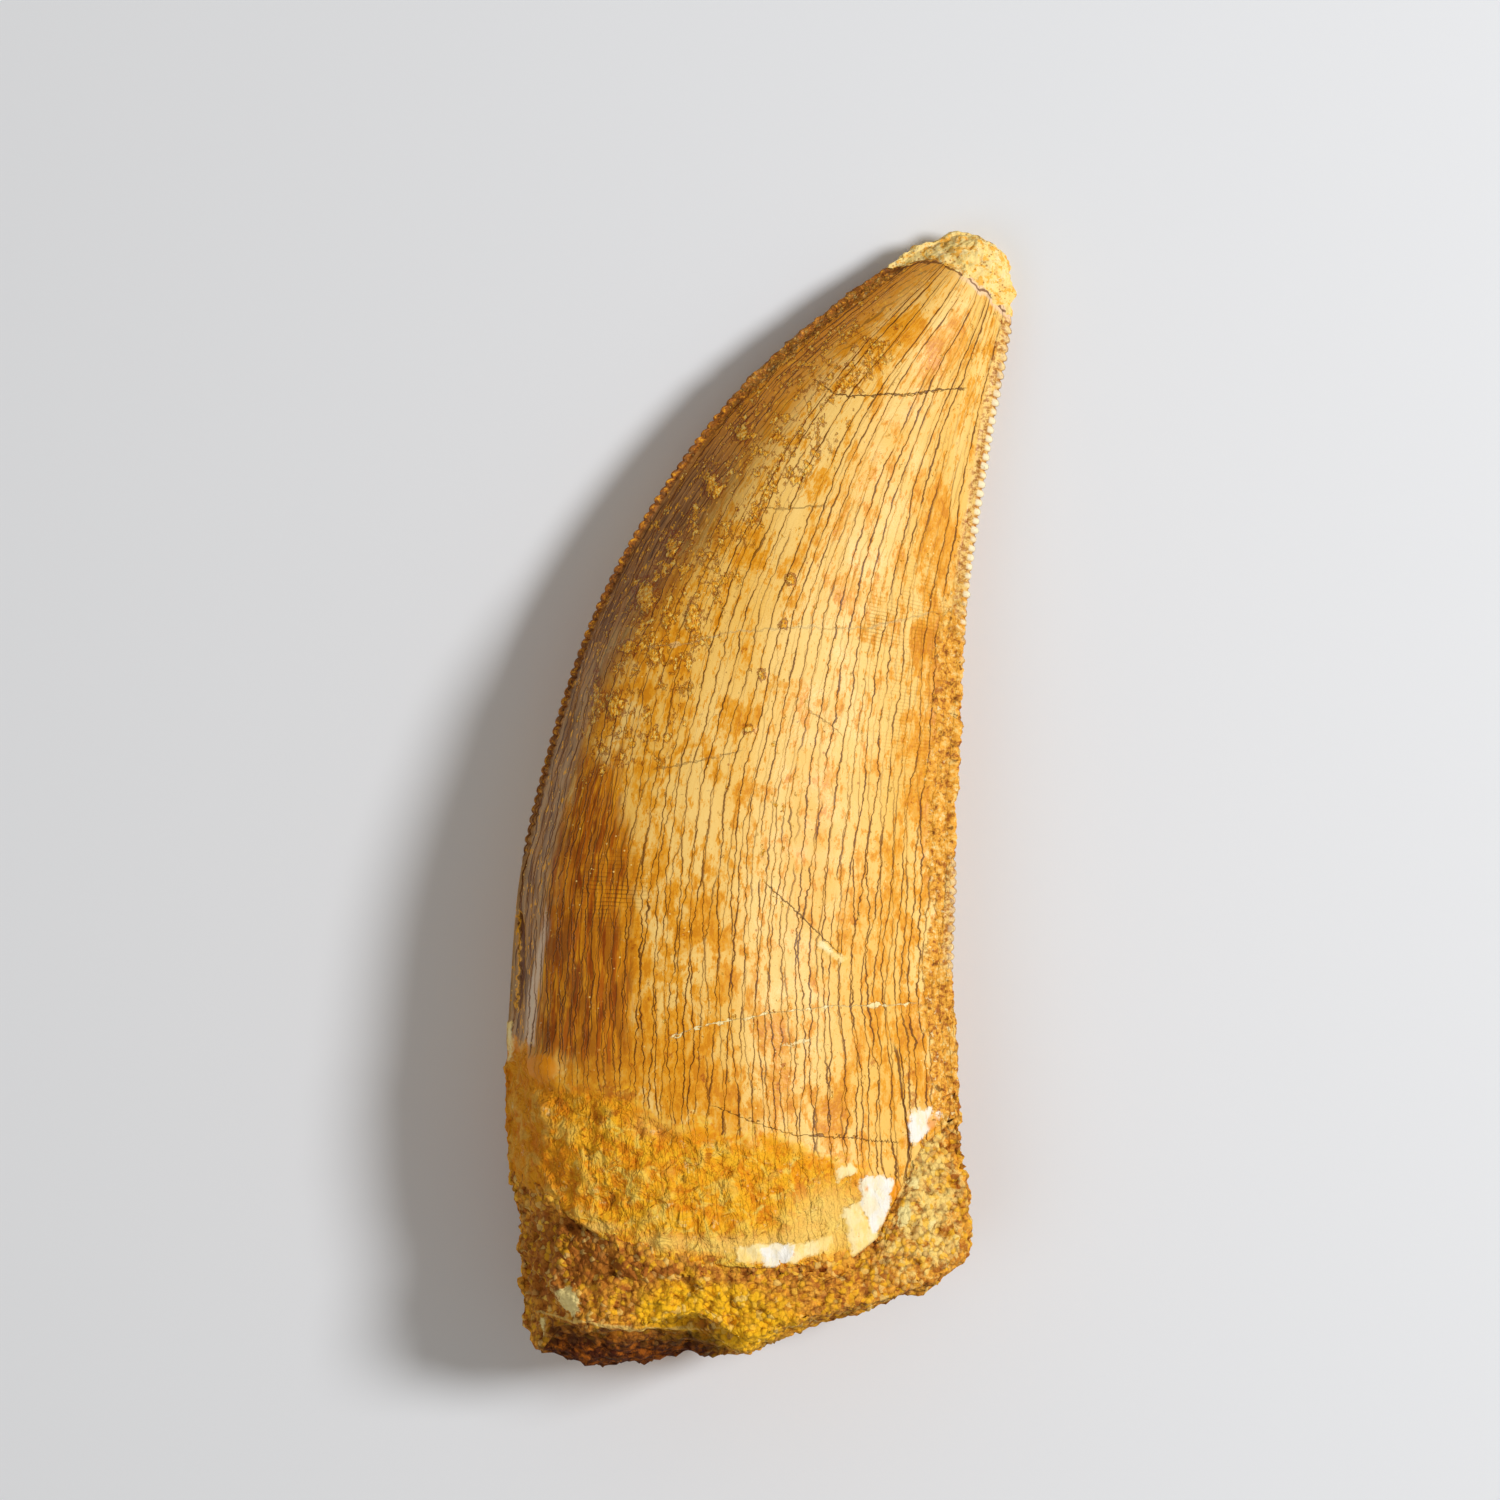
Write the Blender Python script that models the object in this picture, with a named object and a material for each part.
"""Fossil carcharodontosaurus tooth with sandstone left on its broken base and on its tip.

It lies on its lingual side: base towards -Y, tip towards +Y, mesial edge towards -X, serrated
distal edge towards +X, labial face up. Lengths are millimetres until build_object makes metres.
"""

import math

import bmesh
import bpy
import numpy as np
from mathutils import Vector, noise

METRES = 0.001

# Outline of the whole fossil seen from above, from the broken base to the tip, in mm.
# Each row is one section: a point of the mesial edge, then the point of the distal edge opposite.
OUTLINE = (
    ((-15.1, -38.4), (13.8, -38.4)),
    ((-16.0, -29.1), (14.0, -29.1)),
    ((-16.9, -23.4), (13.4, -23.4)),
    ((-16.9, -17.4), (13.2, -17.4)),
    ((-16.6, -11.8), (12.8, -11.8)),
    ((-16.0, -5.1), (13.0, -6.1)),
    ((-14.4, 2.3), (13.1, -0.1)),
    ((-11.8, 10.6), (13.5, 6.6)),
    ((-8.5, 17.5), (13.8, 12.6)),
    ((-4.1, 24.2), (14.7, 19.3)),
    ((1.4, 30.2), (15.7, 25.3)),
    ((7.4, 34.9), (16.6, 30.3)),
    ((10.3, 36.8), (16.9, 33.3)),
    ((12.7, 37.6), (16.6, 35.6)),
)
DOME_LENGTH = 0.7  # how far the rounded end stands beyond the last section

# Thickness of the crown, and how far its mid-plane sinks towards the tip.
CROWN_THICKNESS = 14.8
LABIAL_SHARE = 0.52
TIP_THICKNESS_SHARE = 0.18
TIP_DROP = 5.2
MID_HEIGHT = 7.2  # height of the mid-plane of the base above the surface it lies on
BEND_START_Y = -17.4
BEND_END_Y = 37.7
THINNING_START, THINNING_END = 1.5, 0.8  # powers: how late it thins, how bluntly it ends
SINKING = 1.9  # power: how late the mid-plane sinks
EDGE_THINNING = 2.0  # the carinae thin with the crown once it is thinner than 1 / this

# Shape of a section: where it is thickest, as a share of the way from mesial to distal edge.
LABIAL_PEAK = 0.38
LINGUAL_PEAK = 0.42
MESIAL_ROUNDNESS = 2.2
BLADE_FALL, BLADE_THINNESS = 1.9, 1.15
CARINA_HALF_THICKNESS = 0.4
BEAD_WIDTH = 0.36  # from a carina's edge to the middle of its denticles
SHOULDER_WIDTH = 0.8  # from a carina's edge to where its denticles fade into the face
KEEL_SLOPE = 3.5  # how steeply the face rises beside the mesial carina
KEEL_FADE = 3.0

# The ridge beside the flat mesial facet: (y, distance from the mesial edge, softness) in mm.
FACET_RIDGE = (
    (-30.0, 1.8, 0.5),
    (-16.0, 1.5, 0.3),
    (-5.0, 2.1, 0.3),
    (7.0, 2.2, 0.4),
    (16.0, 4.2, 1.0),
    (27.0, 3.4, 0.9),
    (38.0, 1.6, 0.5),
)
WIDEST_FACET = 0.3  # the ridge is never further in than this share of the width
WIDEST_SOFTNESS = 0.1
SHARP_ENOUGH = 40.0  # this many softnesses from the ridge, the two faces no longer blend

# Denticles on the two carinae.
DISTAL_PITCH = 0.62
MESIAL_PITCH = 0.68
DENTICLE_HEIGHT = 0.26
NOTCH_PINCH = 0.17  # how much lower each face of a carina is at a notch
DENTICLE_PHASES = (0.0, 0.28, 0.72)  # a notch and the two corners of the denticle above it
DISTAL_START_Y = -17.0
MESIAL_START_Y = -5.0
CARINA_END_SECTION = 11.8
DENTICLE_MARGIN = 0.06  # no denticle this close to a break, in section numbers

# Where the enamel ends on the labial face: (x, y) from mesial to distal, and its ledge.
ENAMEL_EDGE = (
    (-17.0, -16.6),
    (-15.2, -18.2),
    (-10.9, -19.5),
    (-6.7, -21.3),
    (-2.4, -22.6),
    (2.1, -22.8),
    (6.7, -24.7),
    (9.0, -27.0),
    (13.5, -28.0),
)
LINGUAL_ENAMEL_Y = -21.0
ENAMEL_LEDGE = 0.28
LEDGE_HALF_WIDTH = 0.4
DENTINE_LUMP = 0.22
DENTINE_LUMP_SIZE = 3.2

# Rough sand along the distal edge, and along the mesial edge near the tip: from y, to y.
DISTAL_CRUST = (-21.0, 15.0)
MESIAL_CRUST = (24.0, 42.0)
CRUST_FADE = 4.0
CRUST_LUMP = 0.3
CRUST_LUMP_SIZE = 1.8

# Where the tooth ends and the sandstone begins, seen from above and from below.
BASE_BREAK_LABIAL = (
    (-17.2, -24.8),
    (-14.5, -26.1),
    (-10.6, -28.9),
    (-6.0, -30.4),
    (0.0, -30.9),
    (5.6, -30.7),
    (7.8, -29.1),
    (9.2, -26.2),
    (10.8, -22.6),
    (13.6, -20.0),
)
BASE_BREAK_LINGUAL = (
    (-17.2, -25.2),
    (-11.0, -27.9),
    (-4.0, -27.2),
    (3.0, -29.0),
    (9.0, -26.0),
    (13.6, -21.5),
)
BREAK_BLEND_HEIGHT = 5.0  # the two edges of the break blend over this height about the mid-plane

# The bottom of the sandstone seen from above, and the bevel broken off under its labial edge.
BASE_END = (
    (-16.4, -33.4),
    (-14.4, -36.5),
    (-11.0, -37.6),
    (-8.0, -37.3),
    (-4.7, -36.5),
    (-1.3, -37.0),
    (2.0, -35.2),
    (7.3, -33.7),
    (11.6, -31.9),
    (14.6, -29.6),
)
LABIAL_BEVEL = ((-16.4, 0.6), (-13.5, 2.6), (-4.0, 2.8), (0.0, 0.9), (14.6, 0.4))
LINGUAL_BEVEL = 2.0
BEVEL_FROM_Z = 1.5
BEVEL_TO_Z = 5.5

# Lumps of the sandstone, and the flat on which it rests.
BASE_LUMP, BASE_LUMP_SIZE = 0.75, 4.5
BASE_GRAIN, BASE_GRAIN_SIZE = 0.3, 1.6
BASE_END_LUMP, BASE_END_LUMP_SIZE = 0.5, 2.6
BASE_UNDERSIDE_BULK = 1.7
LINGUAL_STOUTNESS = 0.85  # how far the sandstone's section fills out towards its edges
LABIAL_STOUTNESS = 0.4
STOUT_SQUARENESS, STOUT_FALL = 4.0, 0.6
BASE_FADE = 0.25  # share of the sandstone's length over which its lumps grow from the break
TIP_LUMP, TIP_LUMP_SIZE = 0.4, 1.5
TIP_FADE = 0.4
TIP_PROUD = 0.3
TIP_CROWN = 0.3

# The break at the tip, across and along the tooth's axis there, from mesial to distal.
TIP_CENTRE = (13.6, 35.0)
TIP_LEAN = math.radians(30.0)
TIP_BREAK = ((-4.4, -2.0), (-3.2, -0.6), (-2.2, 0.1), (0.0, 0.3), (2.0, 0.0), (4.4, -0.5))

GAP = 0.3  # left between the tooth and the sandstone, along the axis of the break

# Between which section numbers each break crosses the form, and how closely it is found.
BASE_BREAK_SECTIONS = (0.0, 5.0)
BASE_END_SECTIONS = (-0.9, 4.0)
TIP_BREAK_SECTIONS = (9.0, len(OUTLINE) * 1.0)
HALVINGS = 36

# The first ring of the base lies this far below its break, that of the tip this far above,
# and the tip's last ring this far beyond the last section, all in section numbers.
BASE_FIRST_RING = 0.05
TIP_FIRST_RING = 0.1
TIP_LAST_RING = 0.92

# How finely the surfaces are divided.
TOOTH_ROWS = 56
LABIAL_COLUMNS = 14
LINGUAL_COLUMNS = 13
BASE_ROWS = 12
TIP_ROWS = 5
BREAK_RINGS = ((0.7, 1), (0.35, 2))
END_RINGS = ((0.87, 2), (0.7, 2), (0.53, 2), (0.36, 4), (0.18, 8))

CARINA_SAMPLES = 1500

LABIAL, LINGUAL = 1, -1

ENAMEL_COLOUR, ENAMEL_ROUGHNESS = (0.72, 0.45, 0.16), 0.35
SANDSTONE_COLOUR, SANDSTONE_ROUGHNESS = (0.50, 0.28, 0.08), 0.9
CREASE = math.radians(50.0)  # edges sharper than this are shaded as creases

# Small steps across and along, to find the form's normals.
STEP_ACROSS, STEP_ALONG = 0.01, 0.05

# The lumps' own roughness, growth and number of finer layers, and where each kind starts.
LUMP_ROUGHNESS, LUMP_GROWTH, LUMP_LAYERS = 0.9, 2.1, 3
LABIAL_SEED, LINGUAL_SEED, CRUST_SEED = 4.0, 9.0, 2.0
BASE_SEED, GRAIN_SEED, END_SEED, TIP_SEED = 1.0, 3.0, 6.0, 5.0

# Shares by which columns are told apart: the middle of the denticles, their foot, and the ridge.
BEAD, SHOULDER, RIDGE = 0.03, 0.06, 0.16
CARINA_SHARE = SHOULDER + 0.01
WIDEST_BEAD, WIDEST_SHOULDER = 0.06, 0.13  # of the width, where the tooth is narrow


def smooth_curve(points):
    """Natural cubic spline through evenly numbered points, as a function of the number."""
    points = np.array(points, float)
    count = len(points)
    system = np.eye(count)
    bend = np.zeros_like(points)
    for i in range(1, count - 1):
        system[i, i - 1 : i + 2] = (1.0, 4.0, 1.0)
        bend[i] = 6.0 * (points[i - 1] - 2.0 * points[i] + points[i + 1])
    bend = np.linalg.solve(system, bend)

    def at(number):
        i = min(max(int(number), 0), count - 2)
        t = number - i
        s = 1.0 - t
        line = s * points[i] + t * points[i + 1]
        return line + ((s**3 - s) * bend[i] + (t**3 - t) * bend[i + 1]) / 6.0

    return at


def read_off(points, x, column=1):
    """Value of a hand-drawn line at x."""
    return float(np.interp(x, [p[0] for p in points], [p[column] for p in points]))


def smoothstep(low, high, x):
    t = min(max((x - low) / (high - low), 0.0), 1.0)
    return t * t * (3.0 - 2.0 * t)


MESIAL_EDGE = smooth_curve([pair[0] for pair in OUTLINE])
DISTAL_EDGE = smooth_curve([pair[1] for pair in OUTLINE])
LAST_SECTION = len(OUTLINE) - 1


def section_at(number):
    """Mesial edge, distal edge, mid-plane height and full thickness at a section number."""
    inside = min(number, LAST_SECTION)
    mesial, distal = MESIAL_EDGE(inside), DISTAL_EDGE(inside)
    middle_y = (mesial[1] + distal[1]) / 2.0
    share = min(max((middle_y - BEND_START_Y) / (BEND_END_Y - BEND_START_Y), 0.0), 1.0)
    taper = max(1.0 - share**THINNING_START, 0.0) ** THINNING_END
    thickness = CROWN_THICKNESS * (TIP_THICKNESS_SHARE + (1.0 - TIP_THICKNESS_SHARE) * taper)
    height = MID_HEIGHT - TIP_DROP * share**SINKING
    if number > LAST_SECTION:
        beyond = min(number - LAST_SECTION, 1.0)
        round_off = math.sqrt(1.0 - beyond**2)
        middle = (mesial + distal) / 2.0
        forward = np.array((math.sin(TIP_LEAN), math.cos(TIP_LEAN))) * DOME_LENGTH * beyond
        mesial = middle + (mesial - middle) * round_off + forward
        distal = middle + (distal - middle) * round_off + forward
        thickness *= round_off
    return mesial, distal, height, thickness


def labial_height(across, width, half, middle_y):
    """Height of the labial face over the mid-plane: a dome cut by the mesial facet."""
    ridge = min(read_off(FACET_RIDGE, middle_y), WIDEST_FACET * width) / width
    softness = min(read_off(FACET_RIDGE, middle_y, 2), WIDEST_SOFTNESS * width)
    dome = half * face_profile(across, LABIAL_PEAK)
    facet = half * face_profile(ridge, LABIAL_PEAK) * across / ridge
    gap = (dome - facet) / softness
    if gap < -SHARP_ENOUGH:
        return dome
    return dome - softness * math.log1p(math.exp(min(gap, SHARP_ENOUGH)))


def face_profile(across, peak):
    """Rounded towards the mesial edge and thinning to a blade at the distal edge, 1 at the peak."""
    if across < peak:
        return math.sqrt(max(1.0 - ((peak - across) / peak) ** MESIAL_ROUNDNESS, 0.0))
    return max(1.0 - ((across - peak) / (1.0 - peak)) ** BLADE_FALL, 0.0) ** BLADE_THINNESS


def form(across, side, number):
    """Point of the fossil's smooth outer form, without lumps or denticles."""
    mesial, distal, height, thickness = section_at(number)
    width = max(float(np.linalg.norm(distal - mesial)), 1e-6)
    x, y = mesial + (distal - mesial) * across
    if across <= 0.0 or across >= 1.0:
        return Vector((x, y, height))
    if side == LABIAL:
        rise = labial_height(across, width, thickness * LABIAL_SHARE, (mesial[1] + distal[1]) / 2)
    else:
        rise = thickness * (1.0 - LABIAL_SHARE) * face_profile(across, LINGUAL_PEAK)
    blade = CARINA_HALF_THICKNESS * min(1.0, EDGE_THINNING * thickness / CROWN_THICKNESS)
    inward = across * width
    keel = blade * min(1.0, inward / BEAD_WIDTH) + KEEL_SLOPE * max(inward - BEAD_WIDTH, 0.0)
    keel_here = smoothstep(MESIAL_START_Y - KEEL_FADE, MESIAL_START_Y + KEEL_FADE, y)
    rise += (min(rise, keel) - rise) * keel_here
    rise = max(rise, blade * min(1.0, (1.0 - across) * width / BEAD_WIDTH))
    return Vector((x, y, height + side * rise))


def outward(across, side, number):
    """Unit normal of the smooth form."""
    low = max(across - STEP_ACROSS, STEP_ACROSS / 2.0)
    high = min(across + STEP_ACROSS, 1.0 - STEP_ACROSS / 2.0)
    over = form(high, side, number) - form(low, side, number)
    along = form(across, side, number + STEP_ALONG) - form(across, side, number - STEP_ALONG)
    normal = over.cross(along) * side
    return normal.normalized() if normal.length > 1e-9 else Vector((0.0, 0.0, float(side)))


def lumps(point, size, seed):
    """Rounded noise between about -1 and 1, of lumps about size mm apart."""
    place = point / size + Vector((seed, seed * 1.7, -seed))
    return noise.fractal(place, LUMP_ROUGHNESS, LUMP_GROWTH, LUMP_LAYERS)


def column_place(share, side, number):
    """Share of the way across for a column, so that columns follow the edges and the ridge."""
    mesial, distal, _, _ = section_at(number)
    width = max(float(np.linalg.norm(distal - mesial)), 1e-6)
    bead = min(BEAD_WIDTH / width, WIDEST_BEAD)
    shoulder = min(SHOULDER_WIDTH / width, WIDEST_SHOULDER)
    ridge = 1.0 - shoulder
    if side == LABIAL:
        middle_y = (mesial[1] + distal[1]) / 2.0
        ridge = min(read_off(FACET_RIDGE, middle_y) / width, WIDEST_FACET)
    start = min(shoulder, ridge * 0.5)
    places = [0.0, bead, start, 1.0 - shoulder, 1.0 - bead, 1.0]
    marks = [0.0, BEAD, SHOULDER, 1.0 - SHOULDER, 1.0 - BEAD, 1.0]
    if side == LABIAL:
        places.insert(3, ridge)
        marks.insert(3, RIDGE)
    return float(np.interp(share, marks, places))


def column_list():
    """(share, side) of every column, round the tooth from the mesial edge over the labial face."""
    labial = np.linspace(RIDGE, 1.0 - SHOULDER, LABIAL_COLUMNS)
    lingual = np.linspace(1.0 - SHOULDER, SHOULDER, LINGUAL_COLUMNS)
    over = [0.0, BEAD, SHOULDER, *labial, 1.0 - BEAD, 1.0]
    under = [1.0 - BEAD, *lingual, BEAD]
    return [(share, LABIAL) for share in over] + [(share, LINGUAL) for share in under]


COLUMNS = column_list()


def base_break(x, z):
    """Y of the break between tooth and base sandstone."""
    blend = smoothstep(-BREAK_BLEND_HEIGHT, BREAK_BLEND_HEIGHT, z - MID_HEIGHT)
    low, high = read_off(BASE_BREAK_LINGUAL, x), read_off(BASE_BREAK_LABIAL, x)
    return low + (high - low) * blend


def base_end(x, z):
    """Y of the broken bottom of the base sandstone."""
    up = z - MID_HEIGHT
    bevel = read_off(LABIAL_BEVEL, x) * smoothstep(BEVEL_FROM_Z, BEVEL_TO_Z, up)
    bevel += LINGUAL_BEVEL * smoothstep(BEVEL_FROM_Z, BEVEL_TO_Z, -up)
    return read_off(BASE_END, x) + bevel


def tip_axes(point):
    """How far a point lies across and along the axis of the tip."""
    x, y = point[0] - TIP_CENTRE[0], point[1] - TIP_CENTRE[1]
    across = x * math.cos(TIP_LEAN) - y * math.sin(TIP_LEAN)
    return across, x * math.sin(TIP_LEAN) + y * math.cos(TIP_LEAN)


def beyond_base_break(point):
    return point[1] - base_break(point[0], point[2])


def beyond_base_end(point):
    return point[1] - base_end(point[0], point[2])


def beyond_tip_break(point):
    across, along = tip_axes(point)
    return along - read_off(TIP_BREAK, across)


def crossing(column, beyond, low, high):
    """Section number at which a column passes through a break."""
    for _ in range(HALVINGS):
        middle = (low + high) / 2.0
        place = form(column_place(*column, middle), column[1], middle)
        if beyond(place) < 0.0:
            low = middle
        else:
            high = middle
    return (low + high) / 2.0


def tooth_relief(point, side):
    """Fall of the tooth's surface below the enamel: the enamel's ledge and dentine lumps."""
    edge_y, seed = LINGUAL_ENAMEL_Y, LINGUAL_SEED
    if side == LABIAL:
        edge_y, seed = read_off(ENAMEL_EDGE, point.x), LABIAL_SEED
    bare = smoothstep(-LEDGE_HALF_WIDTH, LEDGE_HALF_WIDTH, edge_y - point.y)
    return -bare * (ENAMEL_LEDGE + DENTINE_LUMP * lumps(point, DENTINE_LUMP_SIZE, seed))


def crust_lump(point, share):
    """Lumps of sand that cling to the distal edge, and to the mesial edge near the tip."""
    if share >= 1.0 - CARINA_SHARE:
        low, high = DISTAL_CRUST
    elif share <= CARINA_SHARE:
        low, high = MESIAL_CRUST
    else:
        return 0.0
    fade = smoothstep(low, low + CRUST_FADE, point.y) - smoothstep(high - CRUST_FADE, high, point.y)
    return fade * CRUST_LUMP * lumps(point, CRUST_LUMP_SIZE, CRUST_SEED)


def edge_steps(edge, pitch, start_y):
    """Section numbers of the notches and corners of the denticles along one edge."""
    numbers = np.linspace(0.0, CARINA_END_SECTION, CARINA_SAMPLES)
    points = np.array([edge(number) for number in numbers])
    length = np.concatenate(([0.0], np.cumsum(np.linalg.norm(np.diff(points, axis=0), axis=1))))
    start = np.interp(start_y, points[:, 1], length)
    count = int((length[-1] - start) / pitch)
    steps = [(start + (i + phase) * pitch, phase) for i in range(count) for phase in DENTICLE_PHASES]
    return [(float(np.interp(place, length, numbers)), phase) for place, phase in steps]


DISTAL_STEPS = edge_steps(DISTAL_EDGE, DISTAL_PITCH, DISTAL_START_Y)
MESIAL_STEPS = edge_steps(MESIAL_EDGE, MESIAL_PITCH, MESIAL_START_Y)


def tooth_point(column, number, phase=None):
    """Point of the tooth's surface, with denticles where a phase is given."""
    share, side = column
    across = column_place(share, side, number)
    point = form(across, side, number)
    mesial, distal, height, _ = section_at(number)
    on_edge = share in (0.0, 1.0)
    if on_edge:
        direction = Vector((*(distal - mesial), 0.0)).normalized() * (1.0 if share else -1.0)
        if phase is not None:
            point += direction * DENTICLE_HEIGHT * (-0.5 if phase == 0.0 else 0.5)
    else:
        point += outward(across, side, number) * tooth_relief(point, side)
        if phase == 0.0:
            point.z -= side * min(NOTCH_PINCH, 0.5 * abs(point.z - height))
    lump = crust_lump(point, share)
    return point + (Vector((0.5 * lump, 0.0, 0.0)) if on_edge else Vector((0.0, 0.0, side * lump)))


def tooth_column(column):
    """Section numbers and points of one column, from the base break to the tip break."""
    low = crossing(column, beyond_base_break, *BASE_BREAK_SECTIONS)
    high = crossing(column, beyond_tip_break, *TIP_BREAK_SECTIONS)
    numbers = np.linspace(low, high, TOOTH_ROWS)
    share = column[0]
    steps = ()
    if share <= BEAD:
        steps = MESIAL_STEPS
    elif share >= 1.0 - BEAD:
        steps = DISTAL_STEPS
    low, high = low + DENTICLE_MARGIN, high - DENTICLE_MARGIN
    steps = [step for step in steps if low < step[0] < high]
    if not steps:
        return [(number, tooth_point(column, number)) for number in numbers]
    first, last = steps[0][0] - DENTICLE_MARGIN, steps[-1][0] + DENTICLE_MARGIN
    plain = [(number, None) for number in numbers if number < first or number > last]
    rows = sorted(plain + steps, key=lambda row: row[0])
    return [(number, tooth_point(column, number, phase)) for number, phase in rows]


class Shell:
    """Vertices and triangles of one solid."""

    def __init__(self):
        self.points = []
        self.faces = []

    def add(self, points):
        first = len(self.points)
        self.points.extend(points)
        return list(range(first, len(self.points)))

    def zip_lines(self, left, right):
        """Triangles between two lines of (place along the line, vertex)."""
        i = j = 0
        while i + 1 < len(left) or j + 1 < len(right):
            left_next = left[i + 1][0] if i + 1 < len(left) else math.inf
            right_next = right[j + 1][0] if j + 1 < len(right) else math.inf
            if left_next <= right_next:
                self.faces.append((left[i][1], left[i + 1][1], right[j][1]))
                i += 1
            else:
                self.faces.append((left[i][1], right[j + 1][1], right[j][1]))
                j += 1

    def zip_rings(self, outer, inner):
        """Triangles between two closed rings, whose places run from 0 to 1."""
        self.zip_lines([*outer, (1.0, outer[0][1])], [*inner, (1.0, inner[0][1])])

    def close_with_cap(self, rim, rings, height_of):
        """Close a rim with smaller rings and a centre, all lifted to the break's surface.

        Each ring is (its size as a share of the rim, how many rim points it has one point for).
        """
        middle = sum((self.points[i] for i in rim), Vector()) / len(rim)
        outer = [(k / len(rim), index) for k, index in enumerate(rim)]
        for share, skip in rings:
            kept = range(0, len(rim), skip)
            points = [height_of(middle.lerp(self.points[rim[k]], share)) for k in kept]
            inner = [(k / len(rim), index) for k, index in zip(kept, self.add(points))]
            self.zip_rings(outer, inner)
            outer = inner
        (centre,) = self.add([height_of(middle)])
        for k, (_, index) in enumerate(outer):
            self.faces.append((index, outer[(k + 1) % len(outer)][1], centre))


def on_base_break(point, drop=0.0):
    return Vector((point.x, base_break(point.x, point.z) - drop, point.z))


def on_base_end(point):
    lump = BASE_END_LUMP * lumps(point, BASE_END_LUMP_SIZE, END_SEED)
    return Vector((point.x, base_end(point.x, point.z) + lump, point.z))


def on_tip_break(point, rise=0.0):
    across, along = tip_axes(point)
    lift = read_off(TIP_BREAK, across) + rise - along
    return point + Vector((math.sin(TIP_LEAN), math.cos(TIP_LEAN), 0.0)) * lift


def tooth_shell():
    shell = Shell()
    columns = []
    for column in COLUMNS:
        rows = tooth_column(column)
        rows[0] = (rows[0][0], on_base_break(rows[0][1]))
        rows[-1] = (rows[-1][0], on_tip_break(rows[-1][1]))
        indices = shell.add([point for _, point in rows])
        columns.append([(row[0], index) for row, index in zip(rows, indices)])
    for k, line in enumerate(columns):
        shell.zip_lines(line, columns[(k + 1) % len(columns)])
    shell.close_with_cap([line[0][1] for line in columns], BREAK_RINGS, on_base_break)
    shell.close_with_cap([line[-1][1] for line in columns], BREAK_RINGS, on_tip_break)
    return shell


def fine_columns():
    """The columns with one more between each two."""
    count = len(COLUMNS)
    fine = []
    for k, (share, side) in enumerate(COLUMNS):
        next_share = COLUMNS[(k + 1) % count][0]
        fine += [(k / count, share, side)]
        between_side = side if side == LABIAL and share < 1.0 else LINGUAL
        fine += [((k + 0.5) / count, (share + next_share) / 2.0, between_side)]
    return fine


def base_point(share, side, number, depth):
    """Point of the base sandstone. Depth is 0 at the break and 1 at the broken bottom."""
    across = column_place(share, side, number)
    point = form(across, side, number)
    _, _, height, thickness = section_at(number)
    fade = smoothstep(0.0, BASE_FADE, depth)
    filled = depth * LABIAL_STOUTNESS if side == LABIAL else fade * LINGUAL_STOUTNESS
    square = max(1.0 - abs(2.0 * across - 1.0) ** STOUT_SQUARENESS, 0.0)
    stout = side * thickness / 2.0 * square**STOUT_FALL
    if abs(stout) > abs(point.z - height):
        point.z += (height + stout - point.z) * filled
    rise = BASE_LUMP * lumps(point, BASE_LUMP_SIZE, BASE_SEED)
    rise += BASE_GRAIN * lumps(point, BASE_GRAIN_SIZE, GRAIN_SEED)
    point += outward(across, side, number) * rise * fade
    if side == LINGUAL:
        point.z -= BASE_UNDERSIDE_BULK * fade * math.sqrt(math.sin(math.pi * across))
    point.z = max(point.z, 0.0)
    return point


def base_shell():
    shell = Shell()
    edge = []
    for column in COLUMNS:
        number = crossing(column, beyond_base_break, *BASE_BREAK_SECTIONS)
        edge.append(on_base_break(tooth_point(column, number), GAP))
    rim = shell.add(edge)
    ring = [(k / len(rim), index) for k, index in enumerate(rim)]
    columns = fine_columns()
    tops = [crossing(column[1:], beyond_base_break, *BASE_BREAK_SECTIONS) for column in columns]
    ends = [crossing(column[1:], beyond_base_end, *BASE_END_SECTIONS) for column in columns]
    for row in range(1, BASE_ROWS + 1):
        depth = row / BASE_ROWS
        points = []
        for (_, share, side), top, end in zip(columns, tops, ends):
            number = top + (end - top) * depth - BASE_FIRST_RING * (1.0 - depth)
            points.append(base_point(share, side, number, depth))
        indices = shell.add(points)
        lower = [(place[0], index) for place, index in zip(columns, indices)]
        shell.zip_rings(ring, lower)
        ring = lower
    shell.close_with_cap(rim, BREAK_RINGS, lambda point: on_base_break(point, GAP))
    shell.close_with_cap([index for _, index in ring], END_RINGS, on_base_end)
    return shell


def tip_point(share, side, number, depth):
    """Point of the tip's crust. Depth is 0 at the break and grows towards the tip."""
    across = column_place(share, side, number)
    point = form(across, side, number)
    fade = smoothstep(0.0, TIP_FADE, depth)
    centre = form(0.0, side, number).lerp(form(1.0, side, number), 0.5)
    away = (point - centre).normalized() if (point - centre).length > 1e-6 else Vector((0, 1, 0))
    point += away * fade * (TIP_PROUD + TIP_LUMP * lumps(point, TIP_LUMP_SIZE, TIP_SEED))
    point.z = max(point.z, 0.0)
    return point


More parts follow.
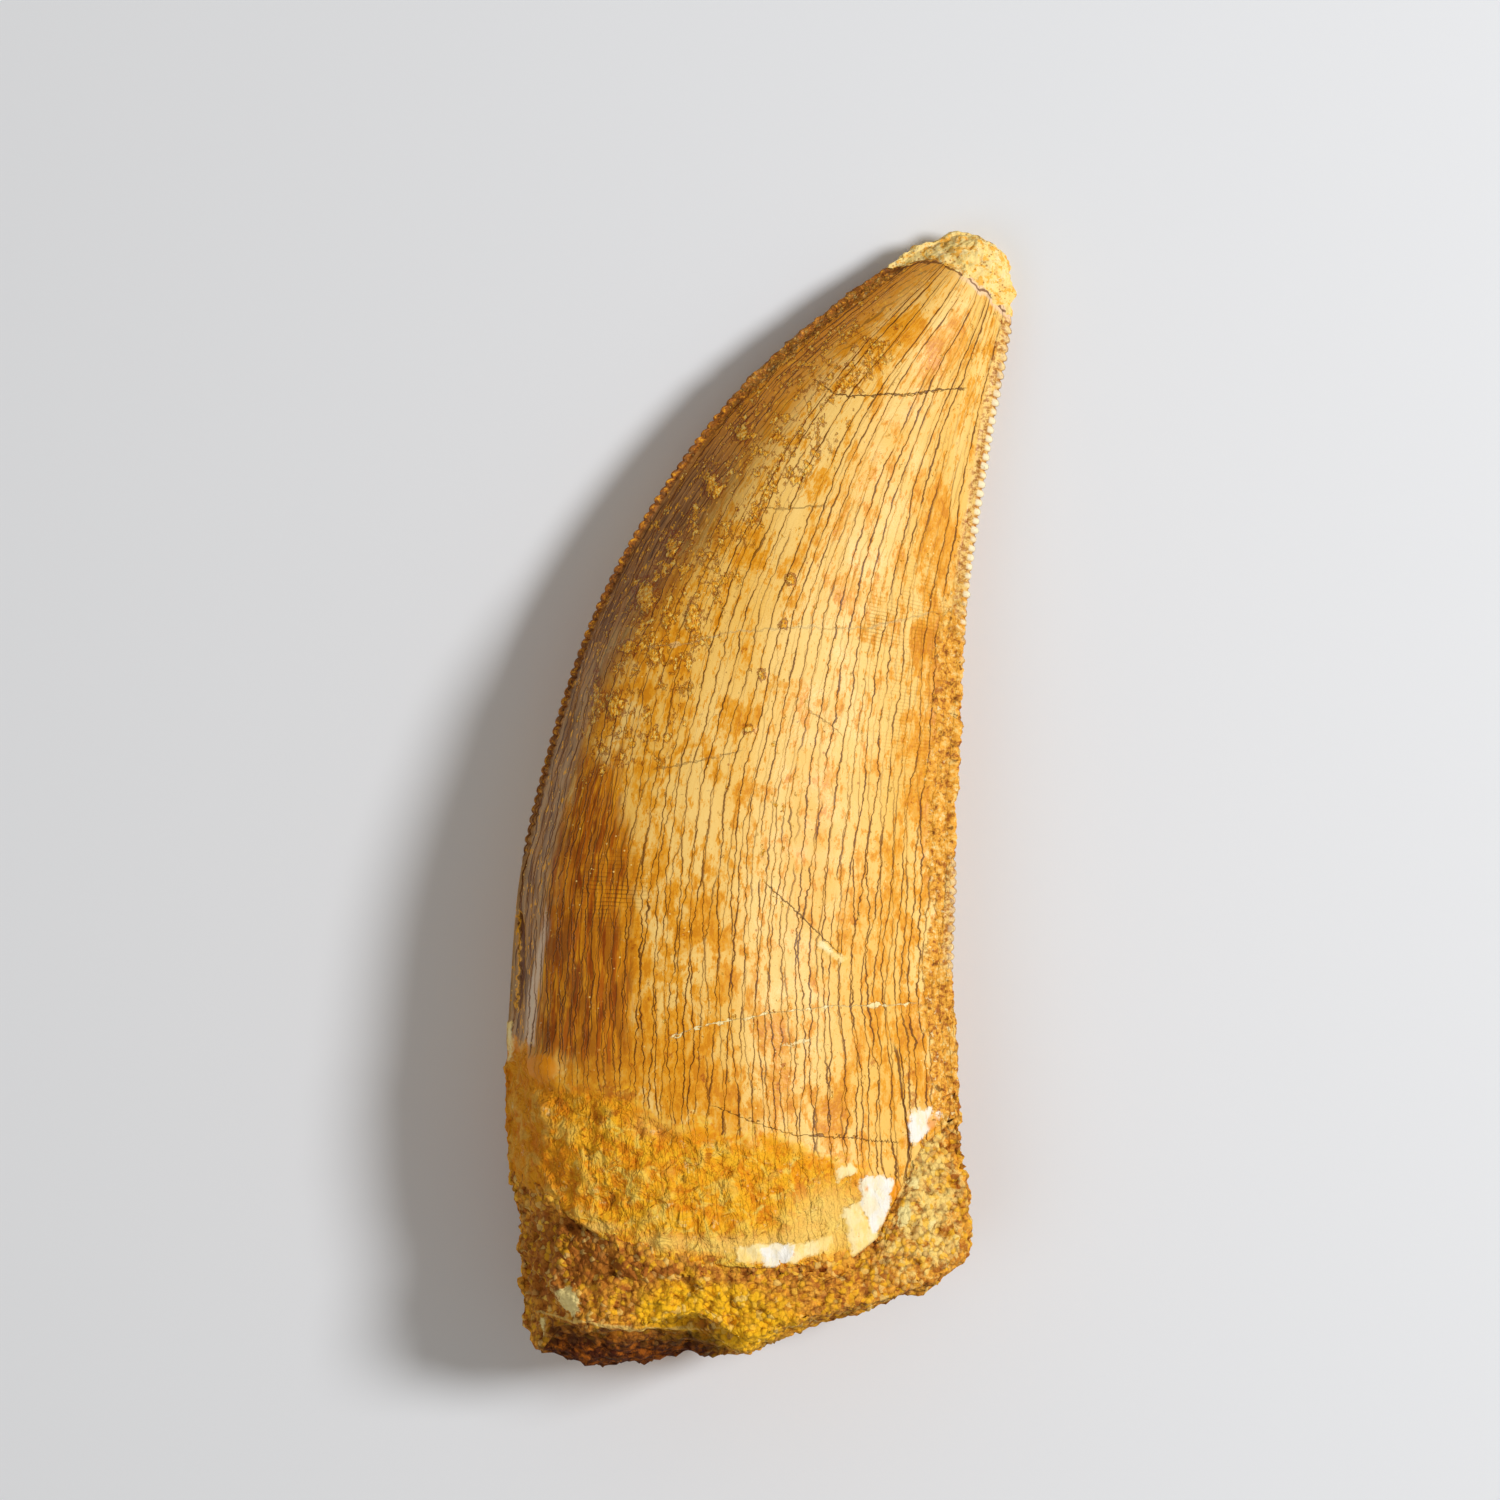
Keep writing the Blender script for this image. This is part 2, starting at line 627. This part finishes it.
def tip_shell():
    shell = Shell()
    numbers = [crossing(column, beyond_tip_break, *TIP_BREAK_SECTIONS) for column in COLUMNS]
    edge = []
    for column, number in zip(COLUMNS, numbers):
        edge.append(on_tip_break(tooth_point(column, number), GAP))
    rim = shell.add(edge)
    ring = [(k / len(rim), index) for k, index in enumerate(rim)]
    top = LAST_SECTION + TIP_LAST_RING
    for row in range(1, TIP_ROWS + 1):
        depth = row / TIP_ROWS
        points = []
        for (share, side), number in zip(COLUMNS, numbers):
            first = number + TIP_FIRST_RING
            points.append(tip_point(share, side, first + (top - first) * depth, depth))
        inner = [(k / len(rim), index) for k, index in enumerate(shell.add(points))]
        shell.zip_rings(ring, inner)
        ring = inner
    shell.close_with_cap(rim, BREAK_RINGS, lambda point: on_tip_break(point, GAP))
    crown = Vector((math.sin(TIP_LEAN), math.cos(TIP_LEAN), 0.0)) * TIP_CROWN
    shell.close_with_cap([index for _, index in ring], (), lambda point: point + crown)
    return shell


def stone_material(name, colour, roughness):
    material = bpy.data.materials.new(name)
    material.use_nodes = True
    shader = material.node_tree.nodes["Principled BSDF"]
    shader.inputs["Base Color"].default_value = (*colour, 1.0)
    shader.inputs["Roughness"].default_value = roughness
    shader.inputs["Metallic"].default_value = 0.0
    material.diffuse_color = (*colour, 1.0)
    return material


def build_object(name, shell, material):
    """Blender object of a shell, in metres, with its faces pointing out."""
    mesh = bpy.data.meshes.new(name)
    mesh.from_pydata([point * METRES for point in shell.points], [], shell.faces)
    bm = bmesh.new()
    bm.from_mesh(mesh)
    bmesh.ops.recalc_face_normals(bm, faces=bm.faces)
    bm.to_mesh(mesh)
    bm.free()
    obj = bpy.data.objects.new(name, mesh)
    bpy.context.scene.collection.objects.link(obj)
    mesh.materials.append(material)
    mesh.shade_smooth()
    mesh.set_sharp_from_angle(angle=CREASE)
    return obj


def clear_scene():
    for obj in list(bpy.data.objects):
        bpy.data.objects.remove(obj, do_unlink=True)


def main():
    clear_scene()
    enamel = stone_material("fossil_enamel", ENAMEL_COLOUR, ENAMEL_ROUGHNESS)
    sandstone = stone_material("sandstone", SANDSTONE_COLOUR, SANDSTONE_ROUGHNESS)
    build_object("tooth", tooth_shell(), enamel)
    build_object("base_matrix", base_shell(), sandstone)
    build_object("tip_matrix", tip_shell(), sandstone)


main()
